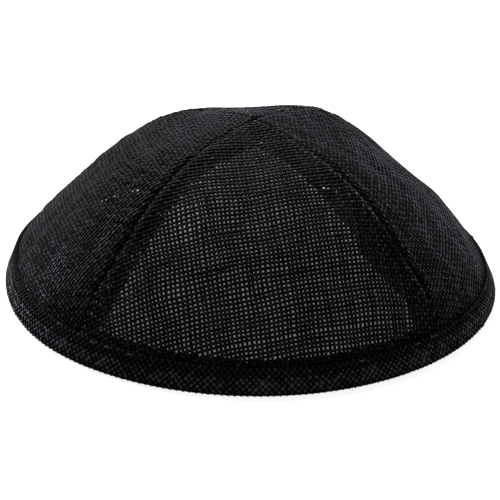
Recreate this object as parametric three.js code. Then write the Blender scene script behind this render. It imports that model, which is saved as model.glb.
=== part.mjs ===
// A soft cloth skullcap of four sewn panels with a folded binding round its rim.
// Millimetres, +Z up. The cap rests on its rim at z = 0 and its crown is over the origin.
// Azimuths are in degrees, from the front (-Y) towards the right (+X).
import * as THREE from "three";

// The rim and the crown
const HEM_RADIUS = 78.6; // of the panels' outer face where it would reach the ground
const LOBES = 3; // the soft rim stands a little out of round, with this many corners
const LOBE_SHARE = 0.0065; // how far the corners stand out, as a share of the radius
const LOBE_AZIMUTH = 81; // one of the corners
const SEAM_TURN = 4.5; // the four seams lie at this azimuth plus 45, 135, 225 and 315
const CORNER_RISE = 1.2; // the seams stand this far above the mean height, and the panels' middles below it

// The outer face from the crown to the hem: share is of HEM_RADIUS
const SECTIONS = [
  { place: "crown", share: 0.0, height: 52.3 },
  { place: "top", share: 0.22, height: 49.3 },
  { place: "shoulder", share: 0.43, height: 44.3 },
  { place: "upper side", share: 0.61, height: 36.0 },
  { place: "side", share: 0.77, height: 24.7 },
  { place: "lower side", share: 0.89, height: 14.7 },
  { place: "binding's upper edge", share: 0.955, height: 7.1 },
  { place: "hem", share: 1.0, height: 0.0 },
];

// Soft swellings and dents: along is their reach down the slope, across is their reach round the cap,
// and rise is upwards
const FOLDS = [
  { place: "left panel's swelling", azimuth: -86, share: 0.5, along: 30, across: 30, rise: 2.0 },
  { place: "right panel's slack", azimuth: 94, share: 0.55, along: 26, across: 30, rise: -0.7 },
  { place: "swelling over the back right seam", azimuth: 140, share: 0.42, along: 26, across: 22, rise: 2.4 },
  { place: "dent behind the right shoulder", azimuth: 113, share: 0.68, along: 14, across: 7, rise: -1.8 },
  { place: "swelling over the right rim", azimuth: 92, share: 0.8, along: 14, across: 16, rise: 0.5 },
  { place: "ridge beside the front left seam", azimuth: -46, share: 0.86, along: 12, across: 3.5, rise: 0.7 },
];
const FOLD_FADE = 6; // a fold fades to nothing at the hem as 1 - share ** FOLD_FADE

// The cloth and how it is sewn
const CLOTH = 1.1; // one layer of the coarse open weave
const GAP = 0.3; // left between pieces that touch
const SEAM_GROOVE = 0.8; // how deep a seam lies below the panels beside it
const SEAM_GROOVE_REACH = 2.2; // from the seam to where the groove has nearly faded
const SEAM_GROOVE_FROM = 0.86; // the groove is flattened between these two shares, above the binding
const SEAM_GROOVE_TO = 0.915;
const ALLOWANCE = 7.0; // the cloth folded back inside along each seam
const ALLOWANCE_STEP = 0.6; // the width of the step at the allowance's raw edge
const ALLOWANCE_END_SHARE = 0.91; // the allowance ends here, just above the binding's inner leg
const ALLOWANCE_END_STEP = 0.008; // the share that its end takes to step down
const TIP_SHARE = 0.012; // where the panels' tips end, close to the crown's middle
const HEM_END_SHARE = 0.988; // where the panels' cloth ends inside the binding

// The binding: a strip folded round the rim
const BINDING_OUTER_SHARE = 0.955; // its outer leg's upper edge
const BINDING_INNER_SHARE = 0.925; // its inner leg's upper edge, which is higher
const BINDING_LOW_SHARE = 0.978; // the last section of each leg above the fold
const FOLD_ROUND = 0.5; // how much its corners are rounded
const FOLD_ROUND_SHARE = 0.005; // the share that its upper corners' rounding takes
const SLOT_FLOOR = 0.8; // the cloth under the panels' lower edge

// How finely the solids are divided
const BINDING_SEGMENTS = 96;
const PANEL_ROWS = 17;
const PANEL_MIDDLE_COLUMNS = 12;

const PANELS = [
  { name: "panel_front", azimuth: 0 },
  { name: "panel_right", azimuth: 90 },
  { name: "panel_back", azimuth: 180 },
  { name: "panel_left", azimuth: 270 },
];
const PANEL_HALF_ANGLE = 45;

const LINEN = { color: 0x141417, roughness: 0.85, metalness: 0 };
const radians = THREE.MathUtils.degToRad;

// The height of the mean outer face: a smooth curve through SECTIONS, level at the crown.
const slopes = SECTIONS.map((here, i) => {
  const before = SECTIONS[i - 1];
  const after = SECTIONS[i + 1];
  if (!before) return 0;
  const down = (here.height - before.height) / (here.share - before.share);
  if (!after) return down;
  const on = (after.height - here.height) / (after.share - here.share);
  const reach = after.share - before.share;
  return (down * (after.share - here.share) + on * (here.share - before.share)) / reach;
});

function meanHeight(share) {
  let i = 0;
  while (i < SECTIONS.length - 2 && share >= SECTIONS[i + 1].share) i += 1;
  const from = SECTIONS[i];
  const to = SECTIONS[i + 1];
  const width = to.share - from.share;
  const t = (share - from.share) / width;
  return (
    from.height * (2 * t ** 3 - 3 * t ** 2 + 1) +
    slopes[i] * width * (t ** 3 - 2 * t ** 2 + t) +
    to.height * (3 * t ** 2 - 2 * t ** 3) +
    slopes[i + 1] * width * (t ** 3 - t ** 2)
  );
}

// The outer face before the seams are pressed in.
function face(share, azimuth) {
  const angle = radians(azimuth);
  const lobe = 1 + LOBE_SHARE * Math.cos(LOBES * radians(azimuth - LOBE_AZIMUTH));
  const radius = share * HEM_RADIUS * lobe;
  const x = radius * Math.sin(angle);
  const y = -radius * Math.cos(angle);
  const corner = -Math.cos(4 * radians(azimuth - SEAM_TURN));
  let z = meanHeight(share) + CORNER_RISE * corner * Math.sin(Math.PI * Math.min(share, 1) ** 1.2);
  for (const fold of FOLDS) {
    const turn = radians(fold.azimuth);
    const fromX = x - HEM_RADIUS * fold.share * Math.sin(turn);
    const fromY = y + HEM_RADIUS * fold.share * Math.cos(turn);
    const along = (fromX * Math.sin(turn) - fromY * Math.cos(turn)) / fold.along;
    const across = (fromX * Math.cos(turn) + fromY * Math.sin(turn)) / fold.across;
    z += fold.rise * Math.exp(-(along ** 2 + across ** 2)) * (1 - Math.min(share, 1) ** FOLD_FADE);
  }
  return new THREE.Vector3(x, y, z);
}

// The outward direction of the outer face.
function outward(share, azimuth) {
  const step = 0.002;
  const turn = 0.2;
  const up = face(Math.max(share - step, 0), azimuth);
  const down = face(share + step, azimuth).sub(up);
  const round = face(share, azimuth + turn).sub(face(share, azimuth - turn));
  const normal = down.cross(round).normalize();
  return normal.z < 0 ? normal.negate() : normal;
}

// A point at a depth under the outer face, which sinks towards each seam.
function under(share, azimuth, seamDistance, depth) {
  const flattened = THREE.MathUtils.smoothstep(share, SEAM_GROOVE_FROM, SEAM_GROOVE_TO);
  const groove = SEAM_GROOVE * (1 - flattened) * Math.exp(-((seamDistance / SEAM_GROOVE_REACH) ** 2));
  return face(share, azimuth).addScaledVector(outward(share, azimuth), -depth - groove);
}

// One closed body from triangles whose corners are shared points.
function body(points, quads) {
  const geometry = new THREE.BufferGeometry();
  geometry.setAttribute("position", new THREE.Float32BufferAttribute(points.flatMap((p) => [p.x, p.y, p.z]), 3));
  geometry.setIndex(quads.flatMap(([a, b, c, d]) => [a, b, c, a, c, d]));
  geometry.computeVertexNormals();
  return geometry;
}

// The columns of a panel from one seam to the other. Those beside the seams keep their distance
// from the seam in millimetres, but never more than the share "widest" of half the panel's width.
const EDGE_COLUMNS = [
  { distance: 0, widest: 0, folded: true },
  { distance: 0.9, widest: 0.1, folded: true },
  { distance: 2.2, widest: 0.22, folded: true },
  { distance: ALLOWANCE - 2.2, widest: 0.42, folded: true },
  { distance: ALLOWANCE, widest: 0.55, folded: true },
  { distance: ALLOWANCE + ALLOWANCE_STEP, widest: 0.6, folded: false },
];

function panelColumns(halfWidth) {
  const inward = EDGE_COLUMNS.map((column) => ({
    distance: Math.min(column.distance, column.widest * halfWidth),
    folded: column.folded,
  }));
  const last = inward[inward.length - 1].distance;
  const left = inward.map((column) => ({ ...column, place: column.distance / halfWidth - 1 }));
  const middle = [];
  for (let i = 1; i <= PANEL_MIDDLE_COLUMNS; i += 1) {
    const place = (last / halfWidth - 1) * (1 - (2 * i) / (PANEL_MIDDLE_COLUMNS + 1));
    middle.push({ place, distance: (1 - Math.abs(place)) * halfWidth, folded: false });
  }
  const right = left.map((column) => ({ ...column, place: -column.place })).reverse();
  return [...left, ...middle, ...right];
}

// The rows of a panel from its tip to its hem, with a step where the allowance ends above the binding.
function panelRows() {
  const rows = [];
  for (let i = 0; i < PANEL_ROWS; i += 1) {
    rows.push({ share: THREE.MathUtils.lerp(TIP_SHARE, ALLOWANCE_END_SHARE, i / (PANEL_ROWS - 1)), folds: true });
  }
  rows.push({ share: ALLOWANCE_END_SHARE + ALLOWANCE_END_STEP, folds: false });
  rows.push({ share: BINDING_OUTER_SHARE, folds: false });
  rows.push({ share: HEM_END_SHARE, folds: false });
  return rows;
}

function panelGeometry(panel) {
  const points = [];
  const rows = panelRows();
  const centre = panel.azimuth + SEAM_TURN;
  let columns = 0;
  for (const layer of ["outer", "inner"]) {
    for (const row of rows) {
      const halfWidth = row.share * HEM_RADIUS * radians(PANEL_HALF_ANGLE) - GAP / 2;
      const halfAngle = PANEL_HALF_ANGLE * (halfWidth / (halfWidth + GAP / 2));
      const across = panelColumns(halfWidth);
      columns = across.length;
      for (const column of across) {
        const layers = row.folds && column.folded ? 2 : 1;
        const depth = layer === "outer" ? 0 : layers * CLOTH;
        const azimuth = centre + column.place * halfAngle;
        points.push(under(row.share, azimuth, column.distance + GAP / 2, depth));
      }
    }
  }
  const at = (layer, row, column) => (layer * rows.length + row) * columns + column;
  const quads = [];
  for (let row = 0; row < rows.length - 1; row += 1) {
    for (let column = 0; column < columns - 1; column += 1) {
      quads.push([at(0, row, column), at(0, row + 1, column), at(0, row + 1, column + 1), at(0, row, column + 1)]);
      quads.push([at(1, row, column), at(1, row, column + 1), at(1, row + 1, column + 1), at(1, row + 1, column)]);
    }
    for (const [column, turned] of [[0, false], [columns - 1, true]]) {
      const edge = [at(0, row, column), at(1, row, column), at(1, row + 1, column), at(0, row + 1, column)];
      quads.push(turned ? edge.reverse() : edge);
    }
  }
  for (let column = 0; column < columns - 1; column += 1) {
    for (const [row, turned] of [[0, false], [rows.length - 1, true]]) {
      const edge = [at(0, row, column), at(0, row, column + 1), at(1, row, column + 1), at(1, row, column)];
      quads.push(turned ? edge.reverse() : edge);
    }
  }
  return body(points, quads);
}

// The binding's section at an azimuth. Heights above the outer face are negative inside it.
function bindingSection(azimuth) {
  const outerLeg = GAP + CLOTH;
  const slotInside = -(CLOTH + GAP);
  const innerLeg = slotInside - CLOTH;
  const along = (height, share) => face(share, azimuth).addScaledVector(outward(share, azimuth), height);
  // The foot of each face: the outer face's slope at the hem, carried down to a height above the ground.
  const hem = face(1, azimuth);
  const normal = outward(1, azimuth);
  const slope = hem.clone().sub(face(BINDING_LOW_SHARE, azimuth)).normalize();
  const foot = (height, z) => {
    const start = hem.clone().addScaledVector(normal, height);
    return start.addScaledVector(slope, (z - start.z) / slope.z);
  };
  const level = (height, inset) => {
    const point = foot(height, 0);
    const middle = foot((outerLeg + innerLeg) / 2, 0);
    return point.lerp(middle, inset / point.distanceTo(middle)).setZ(0);
  };
  return [
    along(outerLeg - FOLD_ROUND, BINDING_OUTER_SHARE),
    along(outerLeg, BINDING_OUTER_SHARE + FOLD_ROUND_SHARE),
    along(outerLeg, BINDING_LOW_SHARE),
    foot(outerLeg, FOLD_ROUND * 2),
    foot(outerLeg, FOLD_ROUND),
    level(outerLeg, FOLD_ROUND),
    level(innerLeg, FOLD_ROUND),
    foot(innerLeg, FOLD_ROUND),
    along(innerLeg, BINDING_LOW_SHARE),
    along(innerLeg, BINDING_OUTER_SHARE),
    along(innerLeg, BINDING_INNER_SHARE + FOLD_ROUND_SHARE),
    along(innerLeg + FOLD_ROUND, BINDING_INNER_SHARE),
    along(slotInside, BINDING_INNER_SHARE),
    along(slotInside, BINDING_OUTER_SHARE),
    along(slotInside, BINDING_LOW_SHARE),
    foot(slotInside, SLOT_FLOOR),
    foot(GAP, SLOT_FLOOR),
    along(GAP, BINDING_LOW_SHARE),
    along(GAP, BINDING_OUTER_SHARE),
  ];
}

function bindingGeometry() {
  const points = [];
  let across = 0;
  for (let i = 0; i < BINDING_SEGMENTS; i += 1) {
    const section = bindingSection((360 * i) / BINDING_SEGMENTS);
    across = section.length;
    points.push(...section);
  }
  const quads = [];
  for (let i = 0; i < BINDING_SEGMENTS; i += 1) {
    const here = i * across;
    const next = ((i + 1) % BINDING_SEGMENTS) * across;
    for (let j = 0; j < across; j += 1) {
      const on = (j + 1) % across;
      quads.push([here + j, here + on, next + on, next + j]);
    }
  }
  return body(points, quads);
}

const cap = new THREE.Group();
cap.name = "cap";
for (const panel of PANELS) {
  const mesh = new THREE.Mesh(panelGeometry(panel), new THREE.MeshStandardMaterial(LINEN));
  mesh.name = panel.name;
  cap.add(mesh);
}
const binding = new THREE.Mesh(bindingGeometry(), new THREE.MeshStandardMaterial(LINEN));
binding.name = "rim_binding";
cap.add(binding);

export default cap;
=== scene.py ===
import math

import bpy
import numpy as np
from mathutils import Matrix, Vector


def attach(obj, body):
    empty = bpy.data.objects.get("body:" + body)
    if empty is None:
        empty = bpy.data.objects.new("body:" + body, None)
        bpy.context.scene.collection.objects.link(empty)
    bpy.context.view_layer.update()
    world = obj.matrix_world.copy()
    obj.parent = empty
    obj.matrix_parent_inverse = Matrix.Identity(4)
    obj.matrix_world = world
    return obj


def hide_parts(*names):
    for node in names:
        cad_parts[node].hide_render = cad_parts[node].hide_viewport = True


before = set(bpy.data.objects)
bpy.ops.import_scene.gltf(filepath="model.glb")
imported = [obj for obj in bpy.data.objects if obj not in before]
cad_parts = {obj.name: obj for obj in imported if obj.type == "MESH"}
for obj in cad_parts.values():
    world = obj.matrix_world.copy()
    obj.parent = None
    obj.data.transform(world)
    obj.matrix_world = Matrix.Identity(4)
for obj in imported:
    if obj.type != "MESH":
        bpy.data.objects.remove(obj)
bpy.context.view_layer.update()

# A four-panel skullcap of coarse open-weave linen. Every thread is a real flattened tube that passes
# over and under its neighbours. Shapes are worked out in millimetres, in the frame of the solids,
# with azimuths in radians from the front (-Y) towards the right (+X).
MM = 0.001

# The cap's outer face, with the solids' sizes. Its last fold and its swells are low, and only here.
HEM_RADIUS = 78.6
LOBES = 3  # the rim is a little out of round
LOBE_SHARE = 0.0065
LOBE_AZIMUTH = math.radians(81)
SEAM_TURN = math.radians(4.5)  # how far the whole cap is turned from square to the front
CORNER_RISE = 1.2  # how much higher the cap stands along its seams
CORNERS = 4
CORNER_POWER = 1.2
SECTIONS = (  # share of the hem's radius, height
    (0.0, 52.3),
    (0.22, 49.3),
    (0.43, 44.3),
    (0.61, 36.0),
    (0.77, 24.7),
    (0.89, 14.7),
    (0.955, 7.1),
    (1.0, 0.0),
)
FOLDS = (  # azimuth in degrees, share, reach down the slope, reach round the cap, rise
    (-86, 0.50, 30, 30, 2.0),
    (94, 0.55, 26, 30, -0.7),
    (140, 0.42, 26, 22, 2.4),
    (113, 0.68, 14, 7, -1.8),
    (92, 0.80, 14, 16, 0.5),
    (-46, 0.86, 12, 3.5, 0.7),
    (0, 0.0, 45, 45, 0.4),
)
FOLD_FADE = 6  # the power of the share with which the folds fade towards the hem
SWELLS = (  # where the cloth stands out from the mean: azimuth in degrees, share, reach in both, how far
    (262, 0.93, 16, 0.07, 1.5),
    (112, 0.78, 14, 0.07, 1.6),
    (312, 1.0, 22, 0.2, 0.8),
)
CLOTH = 1.1  # the solids' thickness
GAP = 0.3  # between the panels' solids and the binding's
SEAM_GROOVE = 0.35  # how deep a seam is drawn in, how wide, and between which shares it flattens out
SEAM_GROOVE_REACH = 0.7
SEAM_GROOVE_FROM = 0.86
SEAM_GROOVE_TO = 0.915
GROOVE_DEEPENS = (0.4, 0.75)  # the shares between which it grows from half its depth to the whole
SEAM_RIDGE = 0.35  # how far the cloth beside a seam rolls up, where, and how wide
SEAM_RIDGE_PLACE = 2.4
SEAM_RIDGE_REACH = 1.3
RIDGE_STARTS = (0.2, 0.45)
ALLOWANCE = 7.0  # the width of the seam allowances
ALLOWANCE_SPREAD = 0.25  # how unevenly they are cut
CROWN_ALLOWANCE = 3.0  # how much wider they are near the crown, where four of them meet
CROWN_ALLOWANCE_ENDS = (0.16, 0.4)
ALLOWANCE_MOST = 0.98  # of the panel's half width
ALLOWANCE_TIP_SHARE = 0.012
ALLOWANCE_END_SHARE = 0.95
TIP_SHARE = 0.006
HEM_END_SHARE = 0.985
BINDING_OUTER_SHARE = 0.955
BINDING_INNER_SHARE = 0.937

# The weave: threads down the panel and rows across it
DOWNS = np.arange(-62, 63)
ROWS = np.arange(-46, 62)
ROW_PITCH = 1.365
THREAD_HALF_WIDTH = 0.41
THREAD_HALF_HEIGHT = 0.11
THREAD_RISE = 0.07  # of a thread's middle over the cloth's, at a crossing
THICKENING = 0.35  # how much thicker a thread is where it is wider
PLACE_SPREAD = 0.055  # how unevenly the threads lie, from one to the next and along each
PLACE_WAVER = 0.05
PLACE_WAVER_REACH = 7
SAMPLE_OFFSETS = (-0.25, 0.25)  # of a pitch, to each side of a crossing
PRESSED_WIDTH = 1.05  # how much wider the threads lie where an allowance is pressed flat
PRESSED_REACH = 0.5
SEWN_WIDTH = 0.35  # how much wider still they lie along a seam, where the cloth is drawn together
SEWN_PLACE = 0.4
SEWN_REACH = 1.0
SEWN_FROM_SHARE = 0.1
SEAM_PAINTED_SHINE = 0.9  # how much painted highlight (more sheen) the crests get beside a seam, where, and how wide
SEAM_PAINTED_SHINE_PLACE = -1.8
SEAM_PAINTED_SHINE_REACH = 0.8
PAINTED_SHINE_END = -0.7  # no crest gets painted highlight nearer to a seam than this
RAISED_CRIMP = 0.5  # how much higher the crests stand where they get a painted highlight, up to the most
RAISED_CRIMP_MOST = 1.7
# Where the crests stand higher and get a painted highlight (more sheen): azimuth in degrees, share, reach
# across and down, gain
RAISED_AND_PAINTED_SHINE = (
    (303, 0.89, 8, 9, 1.7),
    (313, 0.72, 3.5, 9, 1.7),
    (314, 0.86, 4, 8, 1.3),
    (213, 0.19, 20, 8, 2.6),
)
PAINTED_LIGHT_SPOTS = ((213, 0.19, 20, 8, 0.4),)  # where light through the cloth is painted as paler yarn, in the same terms
DOWNHILL = 0.7  # the sine and cosine of the slope there, near enough

# How uneven the yarn is
WIDTH_SPREAD = 0.05  # of its width, from thread to thread and along each
WIDTH_WAVER = 0.07
WIDTH_WAVER_REACH = 9
WIDTH_LIMITS = (0.68, 1.6)
SLUB_CHANCE = 0.3  # that a thread has a thick place
SLUB_REACH = (2.5, 7.0)
SLUB_SWELL = (0.12, 0.4)
TONE_MEAN = 0.35
TONE_SPREAD = 0.12
PANEL_DYE = (0.14, 11)  # how uneven along a thread, and over how many samples
BINDING_DYE = (0.12, 2)
RELIEF_WAVES = (9, 26, 9)  # how many waves, the longest and the shortest
SWAY_WAVES = (7, 34, 12)
SWAY = 0.16  # how far the threads stray from straight in long waves

# Each panel: its middle's azimuth, how far its cloth is turned, anticlockwise from outside, how far its
# threads down the panel lean back from square, and their pitch
PANELS = (
    ("panel_front", 0, 10.5, 4.8, 1.34),
    ("panel_right", 90, 1.4, 11.6, 1.26),
    ("panel_back", 180, 6.0, 2.0, 1.34),
    ("panel_left", 270, 11.0, 1.0, 1.31),
)
BALL_RADIUS = 88.0  # the ball on which flat cloth is laid out without much stretch
PANEL_MIDDLE = 60.0  # the panel's middle, along the slope from the crown
HALF_PANEL = math.radians(45)


def unit(vectors):
    return vectors / np.maximum(np.linalg.norm(vectors, axis=-1, keepdims=True), 1e-12)


def smoothstep(x, low, high):
    t = np.clip((x - low) / (high - low), 0, 1)
    return t * t * (3 - 2 * t)


def mean_height(share):
    """The height of the mean outer face: a smooth curve through SECTIONS, level at the crown."""
    places, heights = np.array(SECTIONS).T
    steps = np.diff(places)
    chords = np.diff(heights) / steps
    slopes = np.zeros(len(places))
    slopes[1:-1] = (chords[:-1] * steps[1:] + chords[1:] * steps[:-1]) / (steps[1:] + steps[:-1])
    slopes[-1] = chords[-1]
    i = np.clip(np.searchsorted(places, share, side="right") - 1, 0, len(places) - 2)
    width = places[i + 1] - places[i]
    t = (share - places[i]) / width
    return (
        heights[i] * (2 * t**3 - 3 * t**2 + 1)
        + slopes[i] * width * (t**3 - 2 * t**2 + t)
        + heights[i + 1] * (3 * t**2 - 2 * t**3)
        + slopes[i + 1] * width * (t**3 - t**2)
    )


def face(share, azimuth):
    """The outer face before the seams are pressed in."""
    radius = share * HEM_RADIUS * (1 + LOBE_SHARE * np.cos(LOBES * (azimuth - LOBE_AZIMUTH)))
    for degrees, place, around, along, swell in SWELLS:
        aside = (np.degrees(azimuth) - degrees + 180) % 360 - 180
        radius = radius + swell * np.exp(-((aside / around) ** 2) - ((share - place) / along) ** 2)
    x = radius * np.sin(azimuth)
    y = -radius * np.cos(azimuth)
    inside = np.clip(share, 0, 1)
    corner = -np.cos(CORNERS * (azimuth - SEAM_TURN))
    z = mean_height(share) + CORNER_RISE * corner * np.sin(np.pi * inside**CORNER_POWER)
    for degrees, place, along, across, rise in FOLDS:
        turn = math.radians(degrees)
        from_x = x - HEM_RADIUS * place * math.sin(turn)
        from_y = y + HEM_RADIUS * place * math.cos(turn)
        down = (from_x * math.sin(turn) - from_y * math.cos(turn)) / along
        round_cap = (from_x * math.cos(turn) + from_y * math.sin(turn)) / across
        z = z + rise * np.exp(-(down**2 + round_cap**2)) * (1 - inside**FOLD_FADE)
    return np.stack([x, y, z], axis=-1)


def outward(share, azimuth, step=0.002, turn=0.0035):
    """The outward direction of the outer face."""
    down = face(share + step, azimuth) - face(np.maximum(share - step, 0), azimuth)
    round_cap = face(share, azimuth + turn) - face(share, azimuth - turn)
    normal = unit(np.cross(down, round_cap))
    return normal * np.where(normal[..., 2:3] < 0, -1, 1)


# How far down the slope each share lies
SLOPE_SHARES = np.linspace(0, 1.05, 400)
SLOPE_LENGTHS = np.concatenate(
    [[0], np.cumsum(np.hypot(np.diff(SLOPE_SHARES) * HEM_RADIUS, np.diff(mean_height(SLOPE_SHARES))))]
)


def flat_to_cap(u, v, turned):
    """A place on a panel's flat cloth, with v up the panel, to a share and an azimuth from its middle."""
    right = u * math.cos(turned) - v * math.sin(turned)
    up = u * math.sin(turned) + v * math.cos(turned)
    far = np.hypot(right, up) / BALL_RADIUS
    bearing = np.arctan2(right, up)
    middle = PANEL_MIDDLE / BALL_RADIUS
    cosine = math.cos(middle) * np.cos(far) + math.sin(middle) * np.sin(far) * np.cos(bearing)
    polar = np.arccos(np.clip(cosine, -1, 1))
    turn = np.arctan2(
        np.sin(bearing) * np.sin(far) * math.sin(middle), np.cos(far) - math.cos(middle) * cosine
    )
    return np.interp(polar * BALL_RADIUS, SLOPE_LENGTHS, SLOPE_SHARES), turn


class Waves:
    """Soft unevenness: a sum of waves in all directions, from a seed."""

    def __init__(self, rng, count, longest, shortest):
        length = shortest * (longest / shortest) ** rng.random(count)
        direction = rng.random(count) * 2 * np.pi
        self.kx = 2 * np.pi / length * np.cos(direction)
        self.ky = 2 * np.pi / length * np.sin(direction)
        self.phase = rng.random(count) * 2 * np.pi
        self.gain = 1 / math.sqrt(count / 2)

    def __call__(self, x, y):
        total = 0
        for kx, ky, phase in zip(self.kx, self.ky, self.phase):
            total = total + np.sin(kx * x + ky * y + phase)
        return total * self.gain


def blurred(noise, width):
    """Noise along each row, smoothed over a number of samples and brought back to a spread of one."""
    kernel = np.hanning(width + 2)[1:-1]
    kernel /= np.linalg.norm(kernel)
    return np.apply_along_axis(lambda row: np.convolve(row, kernel, mode="same"), 1, noise)


def thread_widths(rng, threads, samples, step):
    """How much wider than usual each sample of each thread is: linen is spun unevenly, with slubs."""
    widths = 1 + WIDTH_SPREAD * rng.standard_normal((threads, 1))
    widths = widths + WIDTH_WAVER * blurred(rng.standard_normal((threads, samples)), WIDTH_WAVER_REACH)
    places = np.arange(samples) * step
    for thread in np.flatnonzero(rng.random(threads) < SLUB_CHANCE):
        middle = rng.random() * places[-1]
        reach = rng.uniform(*SLUB_REACH)
        widths[thread] += rng.uniform(*SLUB_SWELL) * np.exp(-(((places - middle) / reach) ** 2))
    return np.clip(widths, *WIDTH_LIMITS)


def spots(place, places):
    """A sum of soft round spots at a place, from a list of where they are."""
    total = 0
    for degrees, share, across, down, gain in places:
        middle = face(np.array(share), np.array(math.radians(degrees)))
        turn = math.radians(degrees)
        aside = (place - middle) @ [math.cos(turn), math.sin(turn), 0] / across
        downhill = [math.sin(turn) * DOWNHILL, -math.cos(turn) * DOWNHILL, -DOWNHILL]
        below = (place - middle) @ downhill / down
        total = total + gain * np.exp(-(aside**2) - below**2)
    return total


def thread_tones(rng, threads, samples, lift, uneven, reach):
    """How pale each sample of each thread is, from 0 to 1: uneven dye, and a lift for some places that
    carries painted light or painted shade.
    """
    tones = TONE_MEAN + TONE_SPREAD * rng.standard_normal((threads, 1))
    tones = tones + uneven * blurred(rng.standard_normal((threads, samples)), reach)
    return np.clip(tones + lift, 0, 1)


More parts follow.
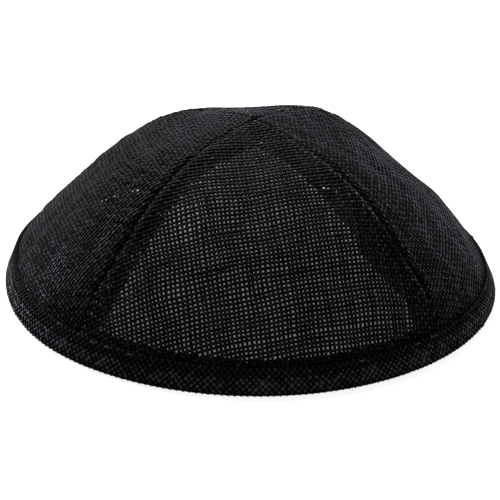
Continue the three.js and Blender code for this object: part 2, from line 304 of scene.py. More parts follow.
class Mesh:
    """Collects tubes and makes them one object, with a map of the threads' fibres and one to bake
    through. In the second the runs of samples lie in rows, with room between them for their caps."""

    SIDES = 4
    ROOM = 2  # between runs, in samples
    ROW = SIDES + 1
    MAP_SHAPE = 3.4  # how many samples lie in a row for each of the rows
    START_CAP = -0.9  # where the caps lie, from a run's first and last sample, and their size
    END_CAP = 0.15
    CAP_ALONG = 0.7
    CAP_ACROSS = (0.3, 3.5)

    def __init__(self):
        self.vertices, self.quads, self.tones, self.phases, self.painted_shines = [], [], [], [], []
        self.strips, self.fibres = [], []
        self.count = 0
        self.runs = []

    def tubes(self, centre, normal, wide, thick, valid, tone, phase, shine=1.0):
        """One flattened tube for each unbroken run of valid samples in each row of centre."""
        along = np.empty_like(centre)
        along[:, 1:-1] = centre[:, 2:] - centre[:, :-2]
        along[:, 0] = centre[:, 1] - centre[:, 0]
        along[:, -1] = centre[:, -1] - centre[:, -2]
        along = unit(along)
        side = unit(np.cross(along, normal))
        up = np.cross(side, along)
        wide = np.broadcast_to(wide, valid.shape)[..., None]
        thick = np.broadcast_to(thick, valid.shape)[..., None]
        wide_side = wide * side
        thick_up = thick * up
        ring = [wide_side + thick_up, thick_up - wide_side, -wide_side - thick_up, wide_side - thick_up]
        corners = centre[:, :, None] + np.stack(ring, axis=2)
        before = np.zeros_like(valid)
        before[:, 1:] = valid[:, :-1]
        after = np.zeros_like(valid)
        after[:, :-1] = valid[:, 1:]
        kept = valid & (before | after)
        before &= kept
        after &= kept
        starts = kept & ~before
        ends = kept & ~after
        number = np.cumsum(kept.ravel()).reshape(kept.shape) - 1
        linked = after[:, :-1]
        here = number[:, :-1][linked]
        there = number[:, 1:][linked]
        run = np.cumsum(starts[kept]) - 1
        first = np.flatnonzero(starts[kept])
        offset = np.arange(len(run)) - first[run]
        step = np.linalg.norm(np.diff(centre, axis=1, prepend=centre[:, :1]), axis=-1)
        length = np.cumsum(step, axis=1)[kept]
        runs_before = len(self.runs)
        self.runs += np.bincount(run).tolist()
        strip = run + runs_before
        base = self.count
        for k in range(self.SIDES):
            on = (k + 1) % self.SIDES
            self.quads.append(
                base + np.stack([here * 4 + k, there * 4 + k, there * 4 + on, here * 4 + on], axis=1)
            )
            across = np.tile([k, k, k + 1, k + 1], (len(here), 1))
            sample = np.stack([here, there, there, here], axis=1)
            self.strips.append(np.stack([strip[sample], offset[sample], across], axis=-1))
            self.fibres.append(np.stack([length[sample], across / self.SIDES], axis=-1))
        near, far = self.CAP_ACROSS
        caps = ((starts, (0, 1, 2, 3), self.START_CAP), (ends, (3, 2, 1, 0), self.END_CAP))
        for ending, order, shift in caps:
            tip = number[ending]
            self.quads.append(base + np.stack([tip * 4 + k for k in order], axis=1))
            place = offset[tip][:, None] + shift + np.array([0, 0, self.CAP_ALONG, self.CAP_ALONG])
            across = np.tile([near, far, far, near], (len(tip), 1))
            self.strips.append(np.stack([np.repeat(strip[tip][:, None], 4, 1), place, across], axis=-1))
            lengths = np.repeat(length[tip][:, None], 4, 1)
            self.fibres.append(np.stack([lengths, across / self.SIDES], axis=-1))
        self.vertices.append(corners[kept].reshape(-1, 3))
        self.tones.append(np.repeat(np.broadcast_to(tone, valid.shape)[kept], 4))
        self.phases.append(np.repeat(np.broadcast_to(phase, valid.shape)[kept], 4))
        self.painted_shines.append(np.repeat(np.broadcast_to(shine, valid.shape)[kept], 4))
        self.count += int(kept.sum()) * 4

    def bake_map(self, strips):
        """Lays each run along a row of the map, four sides high, with room between runs."""
        widest = max(self.runs) + self.ROOM
        capacity = max(widest, int(math.sqrt(sum(self.runs) * self.MAP_SHAPE)))
        row = 0
        used = 0
        starts = np.empty(len(self.runs))
        rows = np.empty(len(self.runs))
        for i, samples in enumerate(self.runs):
            if used + samples + self.ROOM > capacity:
                row += 1
                used = 0
            starts[i] = used + 1
            rows[i] = row
            used += samples + self.ROOM
        run = strips[:, 0].astype(int)
        x = (starts[run] + strips[:, 1]) / capacity
        y = (rows[run] * self.ROW + strips[:, 2] + 0.5) / ((row + 1) * self.ROW)
        return np.stack([x, y], axis=1)

    def build(self, name, material):
        vertices = np.concatenate(self.vertices) * MM
        quads = np.concatenate(self.quads).astype(np.int32)
        mesh = bpy.data.meshes.new(name)
        mesh.vertices.add(len(vertices))
        mesh.vertices.foreach_set("co", vertices.ravel().astype(np.float32))
        mesh.loops.add(quads.size)
        mesh.loops.foreach_set("vertex_index", quads.ravel())
        mesh.polygons.add(len(quads))
        mesh.polygons.foreach_set("loop_start", np.arange(0, quads.size, 4, dtype=np.int32))
        mesh.polygons.foreach_set("loop_total", np.full(len(quads), 4, dtype=np.int32))
        mesh.polygons.foreach_set("use_smooth", np.ones(len(quads), dtype=bool))
        strips = np.concatenate(self.strips).reshape(-1, 3)
        for title, places in (
            ("Fibres", np.concatenate(self.fibres).reshape(-1, 2)),
            ("OFBake", self.bake_map(strips)),
        ):
            layer = mesh.uv_layers.new(name=title)
            layer.data.foreach_set("uv", places.ravel().astype(np.float32))
        for title, values in (("tone", self.tones), ("phase", self.phases), ("shine", self.painted_shines)):
            layer = mesh.attributes.new(title, "FLOAT", "POINT")
            layer.data.foreach_set("value", np.concatenate(values).astype(np.float32))
        mesh.update()
        mesh.validate()
        mesh.materials.append(material)
        piece = bpy.data.objects.new(name, mesh)
        bpy.context.scene.collection.objects.link(piece)
        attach(piece, "root")
        return piece


# Materials
TOP_PLACE = 0.125  # the middle of a thread's outer side, in the map of the fibres
TOP_REACH = 0.02  # how far from it the outer side's painted highlight goes, squared
CLOUDS = 0.3  # how much the soft clouds of dye count
BLOOM_FROM = 0.55  # the paleness, painted highlight included, from which the fibres bloom, and its range, of the yarn's sheen
BLOOM_LEAST = 0.1
BLOOM_MOST = 1.8
CREST_RELIEF = 2.0  # against the relief of the fibres


def node(tree, kind, place, **inputs):
    made = tree.nodes.new(kind)
    made.location = place
    for key, value in inputs.items():
        made.inputs[key.replace("_", " ")].default_value = value
    return made


def linen(name, dark, light, roughness, sheen, lift, bead):
    """Black linen yarn: uneven dye from thread to thread, and a painted highlight, paler and with more
    sheen, on the outer side of each crest where it rises over another thread, with fine twisted fibres
    and a dry surface."""
    material = bpy.data.materials.new(name)
    material.use_nodes = True
    tree = material.node_tree
    shader = tree.nodes["Principled BSDF"]
    shader.inputs["Specular IOR Level"].default_value = 0.01
    shader.inputs["Sheen Roughness"].default_value = 0.2
    shader.inputs["Sheen Tint"].default_value = (0.86, 0.87, 1.0, 1)
    link = tree.links.new
    tone = node(tree, "ShaderNodeAttribute", (-1100, 250))
    tone.attribute_name = "tone"
    where = node(tree, "ShaderNodeTexCoord", (-1300, -100))
    cloud = node(tree, "ShaderNodeTexNoise", (-1100, 20), Scale=55.0, Detail=3.0)
    link(where.outputs["Object"], cloud.inputs["Vector"])
    phase = node(tree, "ShaderNodeAttribute", (-1500, 450))
    phase.attribute_name = "phase"
    turn = node(tree, "ShaderNodeMath", (-1300, 450))
    turn.operation = "MULTIPLY"
    turn.inputs[1].default_value = math.pi
    link(phase.outputs["Fac"], turn.inputs[0])
    wave = node(tree, "ShaderNodeMath", (-1150, 450))
    wave.operation = "COSINE"
    link(turn.outputs[0], wave.inputs[0])
    ridge = node(tree, "ShaderNodeMapRange", (-1000, 450))
    ridge.inputs["From Min"].default_value = bead
    link(wave.outputs[0], ridge.inputs["Value"])
    fibres = node(tree, "ShaderNodeUVMap", (-1700, 0))
    fibres.uv_map = "Fibres"
    parts = node(tree, "ShaderNodeSeparateXYZ", (-1500, 200))
    link(fibres.outputs["UV"], parts.inputs[0])
    aside = node(tree, "ShaderNodeMath", (-1350, 200))
    aside.operation = "SUBTRACT"
    aside.inputs[1].default_value = TOP_PLACE
    link(parts.outputs["Y"], aside.inputs[0])
    squared = node(tree, "ShaderNodeMath", (-1200, 200))
    squared.operation = "POWER"
    squared.inputs[1].default_value = 2.0
    link(aside.outputs[0], squared.inputs[0])
    round_top = node(tree, "ShaderNodeMapRange", (-1050, 200))
    round_top.inputs["From Max"].default_value = TOP_REACH
    round_top.inputs["To Min"].default_value = 1.0
    round_top.inputs["To Max"].default_value = 0.0
    link(squared.outputs[0], round_top.inputs["Value"])
    # Painted highlight: the outer side of each crest is paler and has more sheen; the crest also drives
    # the bump
    crest = node(tree, "ShaderNodeMath", (-950, 380))
    crest.operation = "MULTIPLY"
    link(ridge.outputs["Result"], crest.inputs[0])
    link(round_top.outputs["Result"], crest.inputs[1])
    dye_and_painted_highlight = node(tree, "ShaderNodeMath", (-900, 300))
    dye_and_painted_highlight.operation = "MULTIPLY_ADD"
    dye_and_painted_highlight.inputs[1].default_value = lift
    link(crest.outputs[0], dye_and_painted_highlight.inputs[0])
    link(tone.outputs["Fac"], dye_and_painted_highlight.inputs[2])
    mixed = node(tree, "ShaderNodeMath", (-900, 150))
    mixed.operation = "MULTIPLY_ADD"
    mixed.inputs[1].default_value = CLOUDS
    link(cloud.outputs["Fac"], mixed.inputs[0])
    link(dye_and_painted_highlight.outputs[0], mixed.inputs[2])
    ramp = node(tree, "ShaderNodeValToRGB", (-700, 150))
    ramp.color_ramp.elements[0].position = 0.25
    ramp.color_ramp.elements[0].color = (*dark, 1)
    ramp.color_ramp.elements[1].position = 1.0
    ramp.color_ramp.elements[1].color = (*light, 1)
    middle = ramp.color_ramp.elements.new(0.65)
    middle.color = (*[0.8 * a + 0.2 * b for a, b in zip(dark, light)], 1)
    link(mixed.outputs[0], ramp.inputs["Fac"])
    link(ramp.outputs["Color"], shader.inputs["Base Color"])
    # The sheen grows with the paleness, so the painted highlight on the crests carries into it
    bloom = node(tree, "ShaderNodeMapRange", (-700, -120))
    bloom.inputs["From Min"].default_value = BLOOM_FROM
    bloom.inputs["To Min"].default_value = BLOOM_LEAST * sheen
    bloom.inputs["To Max"].default_value = BLOOM_MOST * sheen
    link(mixed.outputs[0], bloom.inputs["Value"])
    # This attribute carries a painted highlight: it multiplies the sheen at the listed spots and beside
    # the seams
    shine = node(tree, "ShaderNodeAttribute", (-700, -400))
    shine.attribute_name = "shine"
    sheen_with_painted_highlight = node(tree, "ShaderNodeMath", (-450, -120))
    sheen_with_painted_highlight.operation = "MULTIPLY"
    link(bloom.outputs["Result"], sheen_with_painted_highlight.inputs[0])
    link(shine.outputs["Fac"], sheen_with_painted_highlight.inputs[1])
    link(sheen_with_painted_highlight.outputs[0], shader.inputs["Sheen Weight"])
    twist = node(tree, "ShaderNodeTexWave", (-1100, -420), Scale=0.45, Distortion=2.5, Detail=2.0)
    twist.inputs["Detail Scale"].default_value = 2.0
    twist.bands_direction = "DIAGONAL"
    link(fibres.outputs["UV"], twist.inputs["Vector"])
    grain = node(tree, "ShaderNodeTexNoise", (-1100, -180), Scale=2600.0, Detail=2.0)
    link(where.outputs["Object"], grain.inputs["Vector"])
    relief = node(tree, "ShaderNodeMath", (-800, -300))
    relief.operation = "ADD"
    link(twist.outputs["Fac"], relief.inputs[0])
    link(grain.outputs["Fac"], relief.inputs[1])
    bump = node(tree, "ShaderNodeBump", (-550, -300), Strength=0.5, Distance=0.00008)
    rolling = node(tree, "ShaderNodeMath", (-680, -420))
    rolling.operation = "MULTIPLY_ADD"
    rolling.inputs[1].default_value = CREST_RELIEF
    link(crest.outputs[0], rolling.inputs[0])
    link(relief.outputs[0], rolling.inputs[2])
    link(rolling.outputs[0], bump.inputs["Height"])
    link(bump.outputs["Normal"], shader.inputs["Normal"])
    rough = node(tree, "ShaderNodeMapRange", (-550, -60))
    rough.inputs["To Min"].default_value = roughness - 0.08
    rough.inputs["To Max"].default_value = roughness + 0.10
    link(grain.outputs["Fac"], rough.inputs["Value"])
    link(rough.outputs["Result"], shader.inputs["Roughness"])
    return material


PANEL_LINEN = linen(
    name="panel_linen_yarn",
    dark=(0.0008, 0.0008, 0.001),
    light=(0.008, 0.008, 0.0096),
    roughness=0.6,
    sheen=0.15,
    lift=0.7,
    bead=0.3,
)
BINDING_LINEN = linen(
    name="binding_linen_yarn",
    dark=(0.0012, 0.0012, 0.0015),
    light=(0.032, 0.032, 0.038),
    roughness=0.6,
    sheen=0.16,
    lift=0.6,
    bead=0.3,
)


# The panels
LEAST_RADIUS = 0.3  # so that the tip has a width
TURN_RADIUS = 0.27  # of the cloth's middle where it turns under at a seam
TURN_MOST = 0.25  # of the panel's half width
TURN_CLEARANCE = 0.2  # from the seam to the cloth's middle at the turn
CLEARANCE_MOST = 0.15  # of the panel's half width
TURN_END = 0.2  # how far past the seam the outer cloth goes
FURTHEST_TURN = 1.45  # in radians from the panel's middle
CLOTH_MIDDLE = 0.2  # the depth of the cloth's middle under the outer face
UNEVENNESS = 0.10  # of the cloth, up and down
PUCKER = 0.07  # how deep the puckers are, how much deeper low down, and their pitch
LOW_PUCKER = 0.14
PUCKER_PITCH = 3.3
PUCKER_WANDER = 1.5
PUCKER_REACH = 4.0  # from the seam
PUCKERS_START = (0.25, 0.6)
LOW_PUCKERS_START = (0.72, 0.9)
RELIEF_ENDS = (0.93, 0.96)


def panel_surface(share, turn, middle, relief):
    """The cloth's middle, its outward side and how far past the seam it lies, for a share and an azimuth
    from the panel's middle. Cloth past a seam is turned under it."""
    radius = np.maximum(share * HEM_RADIUS, LEAST_RADIUS)
    half_width = radius * HALF_PANEL
    bend = np.minimum(TURN_RADIUS, TURN_MOST * half_width)
    clear = np.minimum(TURN_CLEARANCE, CLEARANCE_MOST * half_width)
    past = (np.abs(turn) - HALF_PANEL) * radius
    centre = -clear - bend
    angle = np.clip((past - centre) / bend, 0, np.pi)
    over = np.maximum(past - centre - np.pi * bend, 0)
    across = centre + bend * np.sin(angle) + np.minimum(past - centre, 0) - over
    flattened = smoothstep(share, SEAM_GROOVE_FROM, SEAM_GROOVE_TO)
    deepened = SEAM_GROOVE * (0.5 + 0.5 * smoothstep(share, *GROOVE_DEEPENS))
    groove = deepened * (1 - flattened) * np.exp(-((across / SEAM_GROOVE_REACH) ** 2))
    rolled = SEAM_RIDGE * (1 - flattened) * smoothstep(share, *RIDGE_STARTS)
    groove = groove - rolled * np.exp(-(((across + SEAM_RIDGE_PLACE) / SEAM_RIDGE_REACH) ** 2))
    azimuth = middle + np.sign(turn) * (HALF_PANEL + across / radius)
    normal = outward(share, azimuth)
    to_seam = np.sign(turn)[..., None] * np.stack(
        [np.cos(azimuth), np.sin(azimuth), np.zeros_like(azimuth)], axis=-1
    )
    depth = CLOTH_MIDDLE + groove + bend * (1 - np.cos(angle)) - relief(share, azimuth, across)
    place = face(share, azimuth) - depth[..., None] * normal
    facing = unit(np.cos(angle)[..., None] * normal + np.sin(angle)[..., None] * to_seam)
    return place, facing, past


def panel_relief(waves):
    """Low unevenness of the cloth, with puckers where the seams are drawn in."""

    def relief(share, azimuth, across):
        round_cap = share * HEM_RADIUS * azimuth
        down = np.interp(share, SLOPE_SHARES, SLOPE_LENGTHS)
        soft = UNEVENNESS * waves(round_cap, down)
        near = np.exp(-((across / PUCKER_REACH) ** 2)) * smoothstep(share, *PUCKERS_START)
        depth = PUCKER + LOW_PUCKER * smoothstep(share, *LOW_PUCKERS_START)
        phase = 2 * np.pi * down / PUCKER_PITCH + PUCKER_WANDER * waves(down, 0 * down)
        pucker = depth * near * np.sin(phase)
        return (soft + pucker) * (1 - smoothstep(share, *RELIEF_ENDS))

    return relief


def panel_weave(name, degrees, turned_degrees, lean_degrees, down_pitch, seed):
    """One panel's cloth: threads down the panel and rows across it, turned under at the seams."""
    rng = np.random.default_rng(seed)
    middle = math.radians(degrees) + SEAM_TURN
    turned = math.radians(turned_degrees)
    lean = math.tan(math.radians(lean_degrees))
    relief = panel_relief(Waves(rng, *RELIEF_WAVES))
    sway_u = Waves(rng, *SWAY_WAVES)
    sway_v = Waves(rng, *SWAY_WAVES)
    mesh = Mesh()
    for family in ("down", "row"):
        if family == "down":
            threads, crossings, pitch, own, side = DOWNS, ROWS, ROW_PITCH, down_pitch, 1
        else:
            threads, crossings, pitch, own, side = ROWS, DOWNS, down_pitch, ROW_PITCH, -1
        index = (crossings[:, None] + np.array(SAMPLE_OFFSETS)).ravel()
        along = index * pitch
        phase = threads[:, None] + index + (0 if family == "down" else 1)
        over = np.where((threads[:, None] + crossings) % 2 == 0, 1, -1)
        height = side * THREAD_RISE * np.repeat(over, 2, axis=1)
        samples = len(along)
        beside = threads[:, None] * own + PLACE_SPREAD * rng.standard_normal((len(threads), 1))
        waver = blurred(rng.standard_normal((len(threads), samples)), PLACE_WAVER_REACH)
        beside = beside + PLACE_WAVER * waver
        along = np.broadcast_to(along, beside.shape)
        u, v = (beside, along) if family == "down" else (along, beside)
        u, v = u + SWAY * sway_u(u, v), v + SWAY * sway_v(u, v)
        share, turn = flat_to_cap(u + lean * v, v, turned)
        place, facing, past = panel_surface(share, turn, middle, relief)
        half_width = np.maximum(share * HEM_RADIUS, LEAST_RADIUS) * HALF_PANEL
        raw_edge = ALLOWANCE + ALLOWANCE_SPREAD * rng.standard_normal((len(threads), 1))
        raw_edge = raw_edge + CROWN_ALLOWANCE * (1 - smoothstep(share, *CROWN_ALLOWANCE_ENDS))
        outer = (past < TURN_END) & (share > TIP_SHARE) & (share < HEM_END_SHARE)
        under = past < np.minimum(raw_edge, ALLOWANCE_MOST * half_width)
        under = under & (share > ALLOWANCE_TIP_SHARE) & (share < ALLOWANCE_END_SHARE)
        valid = (outer | under) & (np.abs(turn) < FURTHEST_TURN)
        widths = thread_widths(rng, len(threads), samples, pitch / 2)
        widths = widths * (1 + (PRESSED_WIDTH - 1) * smoothstep(past, -PRESSED_REACH, PRESSED_REACH))
        sewn = np.exp(-(((past - SEWN_PLACE) / SEWN_REACH) ** 2)) * (share > SEWN_FROM_SHARE)
        widths = widths + SEWN_WIDTH * sewn
        thick = THREAD_HALF_HEIGHT * (1 + THICKENING * (widths - 1))
        # The tone is uneven dye, plus light through the cloth at the crown painted as paler yarn
        tone = thread_tones(rng, len(threads), samples, spots(place, PAINTED_LIGHT_SPOTS), *PANEL_DYE)
        # Painted highlight: more sheen on the crests at the listed spots and beside the seams, where they
        # also stand higher
        beside_seam = np.exp(-(((past - SEAM_PAINTED_SHINE_PLACE) / SEAM_PAINTED_SHINE_REACH) ** 2))
        shine = (spots(place, RAISED_AND_PAINTED_SHINE) + SEAM_PAINTED_SHINE * beside_seam) * (past < PAINTED_SHINE_END)
        crimp = 1 + RAISED_CRIMP * np.minimum(shine, RAISED_CRIMP_MOST)
        centre = place + (height * crimp)[..., None] * facing
        mesh.tubes(centre, facing, THREAD_HALF_WIDTH * widths, thick, valid, tone, phase, 1 + shine)
    piece = mesh.build(name + "_weave", PANEL_LINEN)
    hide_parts(name)
    return piece


# The binding: a strip cut on the bias and folded round the rim
GIRTH = 2 * np.pi * HEM_RADIUS
OUTER_MIDDLE = GAP + CLOTH / 2  # heights of the strip's middle over the panels' outer face
INNER_MIDDLE = -(CLOTH + GAP + CLOTH / 2)
TUCK_MIDDLE = 0.12  # where its outer edge is tucked back under
TUCK_SHARE = 0.966
EDGE_BEND_SHARE = 0.9575  # where the tuck and the outer leg start to bend towards each other
OUTER_LEG_SHARES = (0.968, 0.980)
INNER_LEG_SHARES = (0.980, 0.965, 0.950)
HEM_SLOPE_SHARE = 0.978  # the slope from here to the hem goes on down to the ground
FLOOR_MIDDLE = 0.46  # the strip's middle over the ground
FOLD_CORNER = 0.8  # how far from each lower corner its rounding starts
BINDING_PITCH = 1.30
BINDING_RISE = 0.15
BINDING_HALF_WIDTH = 0.40
BINDING_HALF_HEIGHT = 0.15
BINDING_PLACE_SPREAD = 0.06
INNER_WIDTH = 1.25  # how much wider the threads of the pressed inner leg are
FOLD_PLACE = 0.47  # of the strip's width: the outer piece ends here and the inner one starts
FOLD_OVERLAP = 0.8
TOP_PAINTED_SHADE = 0.45  # painted shade: how much darker the leg's top is, below the tucked edge, and its foot, where the fold turns under, and how far down that changes
TOP_PAINTED_SHADE_ENDS = (4.0, 6.3)
FOOT_PAINTED_SHADE = 0.3
FOOT_PAINTED_SHADE_STARTS = (8.3, 10.0)
STITCH_PITCH = 2.6
STITCH_LENGTH = 0.75  # of the pitch
STITCH_SAMPLES = 9
STITCH_DOWN = 3.1  # from the strip's tucked edge
STITCH_SPREAD = 0.08
STITCH_TURN_SPREAD = 0.0016  # in radians round the cap
STITCH_TOP = 0.26  # over the strip's middle
STITCH_SINK = -0.1
STITCH_FULLNESS = 0.7  # the power of the sine that a stitch follows
STITCH_RADIUS = 0.13
STITCH_TONE = 0.2
STITCH_PHASE = 0.3
LOOSE_CHANCE = 0.08  # a few stand a little higher and are thicker, and are painted paler as glints
LOOSE_TOP = 0.42
LOOSE_RADIUS = 1.6 * STITCH_RADIUS
LOOSE_GLINT_TONE = 1.3
BINDING_AZIMUTHS = 480
BINDING_STEP = 0.15


def corner_cut(points, rounds=3):
    """Chaikin's rounding of an open line of points, along the second axis."""
    for _ in range(rounds):
        near = 0.75 * points[:, :-1] + 0.25 * points[:, 1:]
        far = 0.25 * points[:, :-1] + 0.75 * points[:, 1:]
        inside = np.stack([near, far], axis=2).reshape(len(points), -1, 3)
        points = np.concatenate([points[:, :1], inside[:, 1:-1], points[:, -1:]], axis=1)
    return points


def binding_surface():
    """The strip's middle on a grid, azimuths by steps across it from its tucked edge to its inner one,
    with its outward direction and its width."""
    azimuth = np.arange(BINDING_AZIMUTHS) * 2 * np.pi / BINDING_AZIMUTHS

    def along(height, share):
        share = np.full(len(azimuth), share)
        return face(share, azimuth) + height * outward(share, azimuth)

    one = np.ones(len(azimuth))
    hem = face(one, azimuth)
    normal = outward(one, azimuth)
    slope = unit(hem - face(HEM_SLOPE_SHARE * one, azimuth))

    def foot(height, z, inward=0.0):
        start = hem + height * normal
        point = start + slope * ((z - start[:, 2:3]) / slope[:, 2:3])
        nearer = 1 - inward / np.linalg.norm(point[:, :2], axis=1, keepdims=True)
        return point * nearer * [1, 1, 0] + [0, 0, z]

    points = [
        along(TUCK_MIDDLE, TUCK_SHARE),
        along(TUCK_MIDDLE, EDGE_BEND_SHARE),
        along(TUCK_MIDDLE, BINDING_OUTER_SHARE),
        along(OUTER_MIDDLE, BINDING_OUTER_SHARE),
        along(OUTER_MIDDLE, EDGE_BEND_SHARE),
        *(along(OUTER_MIDDLE, share) for share in OUTER_LEG_SHARES),
        foot(OUTER_MIDDLE, FLOOR_MIDDLE + FOLD_CORNER),
        foot(OUTER_MIDDLE, FLOOR_MIDDLE),
        foot(OUTER_MIDDLE, FLOOR_MIDDLE, FOLD_CORNER),
        foot(INNER_MIDDLE, FLOOR_MIDDLE, -FOLD_CORNER),
        foot(INNER_MIDDLE, FLOOR_MIDDLE),
        foot(INNER_MIDDLE, FLOOR_MIDDLE + FOLD_CORNER),
        *(along(INNER_MIDDLE, share) for share in INNER_LEG_SHARES),
        along(INNER_MIDDLE, BINDING_INNER_SHARE),
    ]
    line = corner_cut(np.stack(points, axis=1))
    steps_long = np.linalg.norm(np.diff(line, axis=1), axis=2)
    lengths = np.concatenate([np.zeros((len(line), 1)), np.cumsum(steps_long, axis=1)], axis=1)
    width = lengths[:, -1].mean()
    steps = int(width / BINDING_STEP)
    grid = np.empty((len(line), steps + 1, 3))
    for i in range(len(line)):
        wanted = np.linspace(0, lengths[i, -1], steps + 1)
        for axis in range(3):
            grid[i, :, axis] = np.interp(wanted, lengths[i], line[i, :, axis])
    around = np.roll(grid, -1, axis=0) - np.roll(grid, 1, axis=0)
    across = np.gradient(grid, axis=1)
    return grid, unit(np.cross(around, across)), width


def sampled(grid, azimuth, across):
    """The grid's value at azimuths and at shares of the strip's width."""
    x = (azimuth / (2 * np.pi) % 1) * grid.shape[0]
    y = np.clip(across, 0, 1) * (grid.shape[1] - 1)
    i = np.floor(x).astype(int) % grid.shape[0]
    j = np.minimum(np.floor(y).astype(int), grid.shape[1] - 2)
    fx = (x - np.floor(x))[..., None]
    fy = (y - j)[..., None]
    on = (i + 1) % grid.shape[0]
    return (grid[i, j] * (1 - fx) + grid[on, j] * fx) * (1 - fy) + (
        grid[i, j + 1] * (1 - fx) + grid[on, j + 1] * fx
    ) * fy


def stitches(rng, outer, grid, facing_grid, width):
    """The row of stitches that holds the binding, added to its outer piece."""
    count = 2 * round(GIRTH / STITCH_PITCH / 2)
    along = np.linspace(0, 1, STITCH_SAMPLES)
    azimuth = (np.arange(count)[:, None] + STITCH_LENGTH * along) * 2 * np.pi / count
    azimuth = azimuth + STITCH_TURN_SPREAD * rng.standard_normal((count, 1))
    down = np.full(azimuth.shape, STITCH_DOWN) + STITCH_SPREAD * rng.standard_normal((count, 1))
    place = sampled(grid, azimuth, down / width)
    facing = unit(sampled(facing_grid, azimuth, down / width))
    loose = rng.random((count, 1)) < LOOSE_CHANCE
    top = np.where(loose, LOOSE_TOP, STITCH_TOP)
    height = STITCH_SINK + (top - STITCH_SINK) * np.sin(np.pi * along) ** STITCH_FULLNESS
    centre = place + height[..., None] * facing
    every = np.ones(azimuth.shape, dtype=bool)
    radius = np.where(loose, LOOSE_RADIUS, STITCH_RADIUS) * every
    # Painted glints: the loose stitches are paler and sit at a full crest
    tone = np.where(loose, LOOSE_GLINT_TONE, STITCH_TONE) * every
    phase = np.where(loose, 0, STITCH_PHASE) * every
    outer.tubes(centre, facing, radius, radius, every, tone, phase)


def binding_weave(seed):
    """The binding's cloth: two families of threads on the bias, in an outer and an inner piece."""
    rng = np.random.default_rng(seed)
    grid, facing_grid, width = binding_surface()
    # The outer leg faces up
    if np.mean(facing_grid[:, grid.shape[1] // 3, 2]) < 0:
        facing_grid = -facing_grid
    threads = 2 * round(GIRTH / (BINDING_PITCH * math.sqrt(2)) / 2)
    spacing = GIRTH / threads
    crossings = np.arange(-1, int(width / (spacing / 2)) + 2)
    outer = Mesh()
    inner = Mesh()
    for lean in (1, -1):
        places = (crossings[:, None] + np.array(SAMPLE_OFFSETS)).ravel()
        down = places * spacing / 2
        phase = places + (0 if lean > 0 else 1)
        over = np.where((crossings % 2 == 0), 1, -1)
        height = BINDING_RISE * np.repeat(over, 2)[None] * lean * np.ones((threads, 1))
        beside = BINDING_PLACE_SPREAD * rng.standard_normal((threads, 1))
        waver = blurred(rng.standard_normal((threads, len(down))), PLACE_WAVER_REACH)
        beside = beside + PLACE_WAVER * waver
        round_cap = np.arange(threads)[:, None] * spacing + lean * down + beside
        down = np.broadcast_to(down, round_cap.shape)
        azimuth = round_cap / HEM_RADIUS
        place = sampled(grid, azimuth, down / width)
        facing = unit(sampled(facing_grid, azimuth, down / width))
        inside = (down > 0) & (down < width)
        widths = thread_widths(rng, threads, down.shape[1], BINDING_PITCH / 2)
        thick = BINDING_HALF_HEIGHT * (1 + THICKENING * (widths - 1))
        # Painted shade: the leg's top below the tucked edge and its foot at the fold are darker
        painted_shade = TOP_PAINTED_SHADE * (1 - smoothstep(down, *TOP_PAINTED_SHADE_ENDS))
        painted_shade = painted_shade + FOOT_PAINTED_SHADE * smoothstep(down, *FOOT_PAINTED_SHADE_STARTS)
        tone = thread_tones(rng, threads, down.shape[1], -painted_shade, *BINDING_DYE)
        centre = place + height[..., None] * facing
        fold = FOLD_PLACE * width
        for mesh, part, wider in (
            (outer, inside & (down < fold + FOLD_OVERLAP), 1),
            (inner, inside & (down > fold), INNER_WIDTH),
        ):
            mesh.tubes(centre, facing, BINDING_HALF_WIDTH * widths * wider, thick, part, tone, phase)
    stitches(rng, outer, grid, facing_grid, width)
    for name, mesh in (("binding_outer_weave", outer), ("binding_inner_weave", inner)):
        piece = mesh.build(name, BINDING_LINEN)
        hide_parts("rim_binding")


# Floor, light and camera
REST_HALF_WIDTH = 52.0
REST_FRONT_DEPTH = 68.0
REST_BACK_DEPTH = 50.0
REST_CORNERS = 4  # the power that rounds its outline, between 2 for an ellipse and a rectangle
REST_HEIGHT = 42.0
REST_POWER = 1.9
REST_SIDE_DROP = 0.35  # how much lower its sides lie than its front
REST_BACK_NARROWING = 0.28  # how much narrower it is at the back, and from where to where that comes
REST_NARROWS = (-25, 5)
REST_RINGS = 24
REST_STEPS = 72
REST_GLOW = 0.13
MAT_RADIUS = 75.0
MAT_HEIGHT = 0.3
FLOOR_SIZE = 8  # in metres
FLOOR_GLOW = 0.84
ROOM_GLOW = 0.4
LAMP_PLACE = (-0.5, 1.3, 1.2)  # in metres
LAMP_SIZE = 1.0
LAMP_POWER = 100
PANEL_SEED = 100
BINDING_SEED = 200


def plain(name, colour, roughness, specular, glow_colour=(1, 1, 1), glow=0.0):
    """A plain material for the stage, with an even glow of its own where it has one."""
    material = bpy.data.materials.new(name)
    material.use_nodes = True
    shader = material.node_tree.nodes["Principled BSDF"]
    shader.inputs["Base Color"].default_value = (*colour, 1)
    shader.inputs["Roughness"].default_value = roughness
    shader.inputs["Specular IOR Level"].default_value = specular
    shader.inputs["Emission Color"].default_value = (*glow_colour, 1)
    shader.inputs["Emission Strength"].default_value = glow
    return material


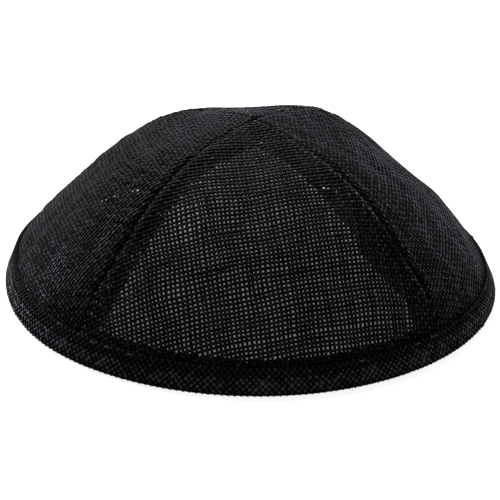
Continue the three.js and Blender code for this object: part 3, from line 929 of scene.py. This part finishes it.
def white_rest():
    """A plain white rest under the cap, softly lit from within: an even white shows close behind the
    whole front panel, and only there."""
    share = np.arange(1, REST_RINGS + 1)[:, None] / REST_RINGS
    turn = 2 * np.pi * np.arange(REST_STEPS)[None] / REST_STEPS
    width = np.abs(np.cos(turn) / REST_HALF_WIDTH)
    depth = np.abs(np.sin(turn)) / np.where(np.sin(turn) < 0, REST_FRONT_DEPTH, REST_BACK_DEPTH)
    reach = (width**REST_CORNERS + depth**REST_CORNERS) ** (-1 / REST_CORNERS)
    x = reach * share * np.cos(turn)
    y = reach * share * np.sin(turn)
    z = REST_HEIGHT * (1 - share**REST_POWER) * (1 - REST_SIDE_DROP * np.abs(x) / REST_HALF_WIDTH)
    narrower = 1 - REST_BACK_NARROWING * smoothstep(y, *REST_NARROWS)
    rings = np.stack([x * narrower, y, z], axis=-1)
    points = np.concatenate([[[0, 0, REST_HEIGHT]], rings.reshape(-1, 3)]) * MM
    faces = [(0, 1 + k, 1 + (k + 1) % REST_STEPS) for k in range(REST_STEPS)]
    for i in range(REST_RINGS - 1):
        for k in range(REST_STEPS):
            here = 1 + i * REST_STEPS + k
            beside = 1 + i * REST_STEPS + (k + 1) % REST_STEPS
            faces.append((here, here + REST_STEPS, beside + REST_STEPS, beside))
    mesh = bpy.data.meshes.new("white_rest")
    mesh.from_pydata(points.tolist(), [], faces)
    mesh.polygons.foreach_set("use_smooth", [True] * len(faces))
    mesh.materials.append(plain("rest_white", (0.85, 0.82, 0.78), 0.9, 0.1, (1.0, 0.94, 0.89), REST_GLOW))
    rest = bpy.data.objects.new("white_rest", mesh)
    bpy.context.scene.collection.objects.link(rest)
    return rest


def painted_shade_mat():
    """A grey mat that the rest stands on, a sheet of painted shade for the cap's shaded inside floor:
    what shows through the side panels is dim.
    """
    bpy.ops.mesh.primitive_circle_add(
        vertices=96, radius=MAT_RADIUS * MM, fill_type="NGON", location=(0, 0, MAT_HEIGHT * MM)
    )
    mat = bpy.context.object
    mat.name = "painted_shade_mat"
    mat.data.materials.append(plain("painted_shade_grey", (0.1, 0.098, 0.095), 0.9, 0.05))
    return mat


def floor_and_light():
    bpy.ops.mesh.primitive_plane_add(size=FLOOR_SIZE)
    floor = bpy.context.object
    floor.name = "floor"
    floor.data.materials.append(plain("floor_white", (0.3, 0.3, 0.3), 0.9, 0.1, glow=FLOOR_GLOW))
    white_rest()
    painted_shade_mat()
    world = bpy.data.worlds.new("studio")
    bpy.context.scene.world = world
    world.use_nodes = True
    world.node_tree.nodes["Background"].inputs["Color"].default_value = (0.97, 0.98, 1.0, 1)
    world.node_tree.nodes["Background"].inputs["Strength"].default_value = ROOM_GLOW
    data = bpy.data.lights.new("soft_back", "AREA")
    data.size = LAMP_SIZE
    data.energy = LAMP_POWER
    lamp = bpy.data.objects.new("soft_back", data)
    lamp.location = LAMP_PLACE
    lamp.rotation_euler = (-Vector(LAMP_PLACE)).to_track_quat("-Z", "Y").to_euler()
    bpy.context.scene.collection.objects.link(lamp)


# The photograph's camera: where it stands, its lens, and the pixel of a 500-pixel frame that the rim's
# centre falls on
VIEW_ELEVATION = math.radians(26.65)
VIEW_DISTANCE = 0.477
VIEW_ROLL = math.radians(1.78)
FOCAL_PIXELS = 1449.0
FRAME_PIXELS = 500
ORIGIN_PIXEL = (250.1, 271.1)
SENSOR_WIDTH = 36
CLIP_START = 0.01
CLIP_END = 50


def camera():
    data = bpy.data.cameras.new("camera")
    data.sensor_width = SENSOR_WIDTH
    data.lens = FOCAL_PIXELS * data.sensor_width / FRAME_PIXELS
    data.clip_start = CLIP_START
    data.clip_end = CLIP_END
    eye = Vector((0, -math.cos(VIEW_ELEVATION), math.sin(VIEW_ELEVATION))) * VIEW_DISTANCE
    piece = bpy.data.objects.new("camera", data)
    turn = (-eye).to_track_quat("-Z", "Y").to_matrix()
    up = math.atan((ORIGIN_PIXEL[1] - FRAME_PIXELS / 2) / FOCAL_PIXELS)
    aside = math.atan((ORIGIN_PIXEL[0] - FRAME_PIXELS / 2) / FOCAL_PIXELS)
    turn = turn @ Matrix.Rotation(VIEW_ROLL, 3, "Z")
    turn = turn @ Matrix.Rotation(up, 3, "X") @ Matrix.Rotation(aside, 3, "Y")
    piece.matrix_world = Matrix.Translation(eye) @ turn.to_4x4()
    bpy.context.scene.collection.objects.link(piece)
    bpy.context.scene.camera = piece


camera()
floor_and_light()
for number, panel in enumerate(PANELS):
    panel_weave(*panel, PANEL_SEED + number)
binding_weave(BINDING_SEED)
bpy.context.scene.view_settings.view_transform = "Standard"
